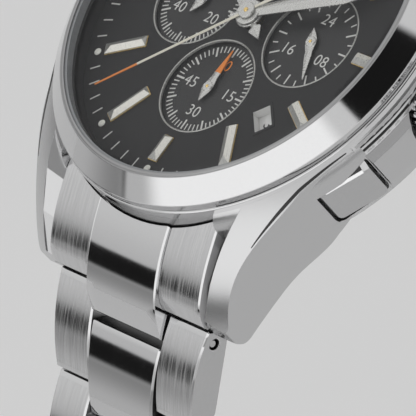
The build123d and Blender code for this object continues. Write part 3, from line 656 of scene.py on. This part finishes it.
def row_place(side, index):
    """Local frame of a row: x across, y along it from its own pivot, z outwards."""
    pivot = Vector(joints[f"row_{side}_{index}_hinge"]["pos_m"]) / MM
    following = f"row_{side}_{index + 1}_hinge" if index < ROWS else "clasp_hinge"
    after = Vector(joints[following]["pos_m"]) / MM
    fall = atan2(pivot.z - after.z, abs(after.y) - abs(pivot.y))
    turn = Matrix.Rotation(pi, 4, "Z") if side == "6" else Matrix.Identity(4)
    local = Matrix(((1, 0, 0, 0), (0, cos(fall), sin(fall), 0), (0, -sin(fall), cos(fall), 0), (0, 0, 0, 1)))
    local.translation = (0, abs(pivot.y), pivot.z)
    return turn @ local


def link_rows():
    """Two brushed side pieces and a polished centre piece for every row, with its hinge pin."""
    # Finish 3 (ends, backs and down the pin holes) is near-black steel: painted shade in the gaps between
    # the links.
    link_looks = ["brushed_steel", "polished_steel", "satin_steel", "painted_gap_shade_steel"]
    for side in ("12", "6"):
        for index in range(1, ROWS + 1):
            offset = PITCH * (index - 1)
            body = f"row_{side}_{index}"
            place = row_place(side, index)
            side_view = barrel_side(-1.30, PITCH - 1.65, LINK_HALF + SIDE_RISE, 0.60, 3.7)
            centre_view = barrel_side(1.80, PITCH + 1.30, LINK_HALF + CENTRE_RISE, 0.55, 5.2)

            def near(s):
                return centre_half(offset + s) + SIDE_GAP

            def far(s):
                return half_width(offset + s)

            right = Shape()
            sweep_across(right, side_view, near, far, place, (1,))
            right.object(f"{body}_right_link", link_looks, body, smooth=30)
            left = Shape()
            sweep_across(left, side_view, lambda s: -far(s), lambda s: -near(s), place, (-1,))
            left.object(f"{body}_left_link", link_looks, body, smooth=30)
            centre = Shape()
            sweep_across(centre, centre_view, lambda s: -centre_half(offset + s),
                         lambda s: centre_half(offset + s), place)
            # The centre piece's cut ends (finish 2) also take the near-black steel as painted shade.
            centre.object(f"{body}_centre_link",
                          ["polished_steel", "polished_steel", "painted_gap_shade_steel", "painted_gap_shade_steel"],
                          body, [body], smooth=30)
            pins = Shape()
            reach = half_width(offset) - 0.25
            pins.skin([[place @ Vector((x, y, z)) for y, z in circle(0.42 * f, 24)]
                       for x, f in ((-reach, 0.7), (-reach + 0.1, 1), (reach - 0.1, 1), (reach, 0.7))])
            pins.object(f"{body}_pins", ["screw_steel"], body, smooth=30)


def height_at(points, y):
    """Height of a smooth curve through points, (y, height), at one y."""
    def slope(k):
        before, after = points[max(k - 1, 0)], points[min(k + 1, len(points) - 1)]
        return (after[1] - before[1]) / (after[0] - before[0])
    for k in range(len(points) - 1):
        (y0, z0), (y1, z1) = points[k], points[k + 1]
        if y <= y1 or k == len(points) - 2:
            t, run = (y - y0) / (y1 - y0), y1 - y0
            return (z0 * (1 + 2 * t) * (1 - t) ** 2 + slope(k) * run * t * (1 - t) ** 2
                    + z1 * t * t * (3 - 2 * t) + slope(k + 1) * run * t * t * (t - 1))


def end_link_strip(shape, top, nose, left, right, turn, bevel=BEVEL):
    """Part of an end link between two widths; its inner end follows the round case wall."""
    between = [left + (right - left) * k / 8 for k in range(1, 8)]
    stations = [left, left + bevel] + between + [right - bevel, right]
    end = top[-1][0]
    loops = []
    for x in stations:
        drop = bevel if x in (left, right) else 0.0
        wall = sqrt(CASE_SEAT_R ** 2 - x * x)
        crest = [(wall + (end - wall) * k / 24, 0.0) for k in range(25)]
        crest = [(y, height_at(top, y) - drop) for y, _ in crest]
        loops.append([turn @ Vector((x, y, DIAL_Z + z)) for y, z in crest + nose + [(wall, -5.2)]])
    count = len(loops[0])
    # The nose and the underside get finish 3, which the callers give a near-black steel as painted shade.
    strips = [0] * 24 + [3] * (count - 24)
    rim = [1] * 24 + [3] * (count - 24)
    shape.skin(loops, rim + strips * (len(stations) - 3) + rim + [2, 2])


def end_links():
    """Solid end links: two brushed side pieces and a polished centre piece, seen here as one."""
    side_top = [(12.0, 0.6), (17.64, -1.18), (19.5, -2.02), (21.4, -3.05), (23.0, -4.15), (24.0, -5.05),
                (24.5, -5.85), (24.75, -6.6)]
    side_nose = [(24.6, -7.19), (24.0, -7.42), (23.4, -7.99), (23.1, -8.6), (21.4, -8.2), (18.6, -5.4)]
    centre_top = [(12.0, 0.82), (17.64, -0.96), (19.5, -1.78), (21.4, -2.78), (23.2, -3.98), (24.7, -5.28),
                  (25.8, -6.6), (26.73, -8.4)]
    centre_nose = [(26.6, -9.0), (26.25, -9.45), (25.9, -9.9), (25.35, -10.3), (24.1, -10.05), (21.4, -8.2),
                   (18.6, -5.4)]
    half, middle = 9.95, centre_half(1.0)
    for side in ("12", "6"):
        turn = Matrix.Rotation(pi, 4, "Z") if side == "6" else Matrix.Identity(4)
        sides = Shape()
        end_link_strip(sides, side_top, side_nose, -half, -middle - 0.02, turn)
        end_link_strip(sides, side_top, side_nose, middle + 0.02, half, turn)
        # Finish 3, on the noses and undersides, is near-black steel as painted shade.
        sides.object(f"end_link_{side}_sides",
                     ["brushed_steel", "polished_steel", "satin_steel", "painted_gap_shade_steel"],
                     "case", [f"end_link_{side}"], smooth=30)
        centre = Shape()
        end_link_strip(centre, centre_top, centre_nose, -middle, middle, turn)
        centre.object(f"end_link_{side}_centre",
                      ["polished_steel", "polished_steel", "polished_steel", "painted_gap_shade_steel"],
                      "case", smooth=30)


# ---------------------------------------------------------------- painted reflections and highlights laid over the case and pushers
def case_height(x, y):
    """Height of the case's top surface, straight below a point."""
    case = frame["nodes"]["case_middle"]
    hit, point, _, _ = case.ray_cast(Vector((x, y, DIAL_Z + 5)) * MM, Vector((0, 0, -1)))
    return point.z / MM if hit else None


def ribbon(shape, path, halves, finish=0, lift=0.015):
    """Thin band that follows a path over the case's top surface."""
    loops = []
    for k, (x, y) in enumerate(path):
        ahead = Vector(path[min(k + 1, len(path) - 1)]) - Vector(path[max(k - 1, 0)])
        aside = Vector((-ahead.y, ahead.x)).normalized() * halves[k]
        left, right = Vector((x, y)) + aside, Vector((x, y)) - aside
        heights = [case_height(*left), case_height(*right)]
        if None in heights:
            continue
        loops.append([(*left, heights[0] - 0.05), (*right, heights[1] - 0.05), (*right, heights[1] + lift),
                      (*left, heights[0] + lift)])
    shape.skin(loops, finish)


def painted_lug_crease_lines():
    """Painted dark reflection: a near-black band laid just over the case where each lug's top turns down
    into its flank.
    """
    corner, root, tip = Vector((18.85, 7.5)), Vector((16.42, 12.5)), Vector((14.12, 18.2))
    bend = Vector((15.30, 15.4))
    creases = Shape()
    for sx, sy in ((1, 1), (1, -1), (-1, 1), (-1, -1)):
        path = [corner.lerp(root, k / 8) for k in range(8)]
        shares = [k / 12 for k in range(13)]
        path += [(1 - t) ** 2 * root + 2 * t * (1 - t) * bend + t * t * tip for t in shares]
        halves = [0.03 + 0.10 * sin(pi * k / (len(path) - 1)) for k in range(len(path))]
        ribbon(creases, [(sx * p.x, sy * p.y) for p in path], halves)
    creases.object("painted_lug_crease_lines", ["painted_dark_reflection_steel"], "case", smooth=30)


def painted_guard_bands():
    """Painted dark reflections and painted highlights: thin dark and bright bands laid round the top edge of
    the case at the crown.

    Each is given by its radius, half width and finish. They run through the crown's pocket.
    """
    bands = Shape()
    for r, half, finish in ((20.36, 0.13, 0), (20.53, 0.035, 1), (20.62, 0.04, 0), (20.71, 0.04, 1)):
        angles = [radians(-20 + k) for k in range(41)]
        ribbon(bands, [(r * cos(a), r * sin(a)) for a in angles], [half] * len(angles), finish)
    bands.object("painted_guard_bands", ["painted_dark_reflection_steel", "painted_highlight_steel"], "case", smooth=30)


def painted_pusher_reflections():
    """Painted dark reflection on the slope of each pusher, with a painted highlight line along the top of
    its face.

    The slope runs back by `run` and up by `rise` from the face. The painted highlight line takes its first
    `line` part.
    """
    run, rise, half_long, line = 0.85, 1.07, 1.85, 0.22
    for name, angle in (("pusher_2", 35.0), ("pusher_4", -35.0)):
        out = Vector((cos(radians(angle)), sin(radians(angle)), 0))
        across = Vector((-out.y, out.x, 0))
        corners = [v.co / MM for v in frame["nodes"][name].data.vertices]
        face = max(p.dot(out) for p in corners)
        middle = (max(p.dot(across) for p in corners) + min(p.dot(across) for p in corners)) / 2
        top = max(p.z for p in corners)
        slope = Shape()
        for start, end, finish in ((0.0, line, 1), (line, 0.97, 0)):
            loop = []
            for share in (start, end):
                depth, height = face - run * share, top - rise * (1 - share)
                for lift in (-0.03, 0.012):
                    loop.append((depth + lift * 0.78, height + lift * 0.62))
            order = [loop[0], loop[2], loop[3], loop[1]]
            ends = []
            for side in (-half_long, half_long):
                start_at = across * (middle + side)
                ends.append([out * depth + start_at + Vector((0, 0, height)) for depth, height in order])
            slope.skin(ends, finish)
        # thin slabs of painted dark reflection and painted highlight laid on the pusher
        slope.object(f"{name}_slope", ["painted_dark_reflection_steel", "painted_highlight_steel"], name, smooth=0)


# ---------------------------------------------------------------- carried-over CAD nodes
def finish_cad_nodes():
    """Gives every CAD node the look of its slot; the case and pushers have their own steels."""
    given = {row["node"]: row["material_slot"] for row in frame["record"]["subparts"]}
    special = {"pusher_2": "satin_steel", "pusher_4": "satin_steel", "case_middle": "case_steel"}
    for node, obj in frame["nodes"].items():
        look = looks[special.get(node, given[node])]
        for slot in obj.material_slots:
            slot.material = look


# ---------------------------------------------------------------- studio
def studio_world():
    """A white tent with a few black cards, as product photographers light polished steel."""
    world = bpy.data.worlds.new("studio")
    world.use_nodes = True
    bpy.context.scene.world = world
    g = Graph(world.node_tree)
    x, y, z = g.split(g.add("TexCoord"))
    elevation = g.math("DEGREES", g.math("ARCSINE", z))
    azimuth = g.math("DEGREES", g.math("ARCTAN2", y, x))
    light = g.step(elevation, 22, 40, 0.62, 0.80)
    low = g.step(elevation, 0, 14, 0.56, 0.30)
    light = g.blend(g.step(elevation, 13.5, 15.5), low, light)
    soft_box = g.math("MULTIPLY", g.window(azimuth, -128, -28, 6, 5), g.window(elevation, 23, 66, 3, 6))
    light = g.blend(soft_box, light, 1.22)
    # Black cards: azimuth start, end, softness of each; elevation bottom, top, softness of each.
    cards = ((-178, -134.5, 2, 1.2, 15.0, 24.0, 1.6, 0.5), (-112, -84, 5, 5, 12, 21, 2, 2),
             (-13, 40, 1.5, 2.5, 38, 62, 1.5, 1.5))
    for start, end, soft_start, soft_end, bottom, top, soft_bottom, soft_top in cards:
        card = g.math("MULTIPLY", g.window(azimuth, start, end, soft_start, soft_end),
                      g.window(elevation, bottom, top, soft_bottom, soft_top))
        light = g.blend(card, light, 0.012)
    grey = g.add("CombineColor", {0: light, 1: light, 2: light})
    background = g.add("Background", {"Color": grey, "Strength": 1.0})
    g.add("OutputWorld", {"Surface": background})


def floor():
    """Plain pale floor, far enough below for its shade to stay soft."""
    half, level = 6.0, -0.30
    made, g = material("studio_floor")
    speck = g.noise(g.place(), 0.01)
    finish_material(g, Base_Color=g.colour(speck, (0.80, 0.80, 0.80), (0.82, 0.82, 0.82)), Roughness=0.9,
                    Specular_IOR_Level=0.1)
    mesh = bpy.data.meshes.new("studio_floor")
    corners = [(-half, -half, level), (half, -half, level), (half, half, level), (-half, half, level)]
    mesh.from_pydata(corners, [], [(0, 1, 2, 3)])
    mesh.materials.append(made)
    made_floor = bpy.data.objects.new("studio_floor", mesh)
    bpy.context.scene.collection.objects.link(made_floor)


def camera():
    """Long lens, low in front of four o'clock. Lengths are in millimetres, places in metres."""
    data = bpy.data.cameras.new("camera")
    data.lens = 519.23
    data.sensor_width = 36.0
    data.clip_start, data.clip_end = 0.01, 50.0
    made = bpy.data.objects.new("camera", data)
    made.location = (0.364717, -0.121404, 0.341880)
    made.rotation_euler = [radians(a) for a in (39.0523, 30.557, 41.5782)]
    bpy.context.scene.collection.objects.link(made)
    bpy.context.scene.camera = made


finish_cad_nodes()
batons()
minute_track()
small_dial_floors()
small_dial_rings()
small_dial_ticks()
small_dial_numbers()
date()
hands()
bezel()
crystal()
link_rows()
end_links()
painted_lug_crease_lines()
painted_guard_bands()
painted_pusher_reflections()
studio_world()
floor()
camera()
bpy.context.scene.view_settings.view_transform = "Standard"
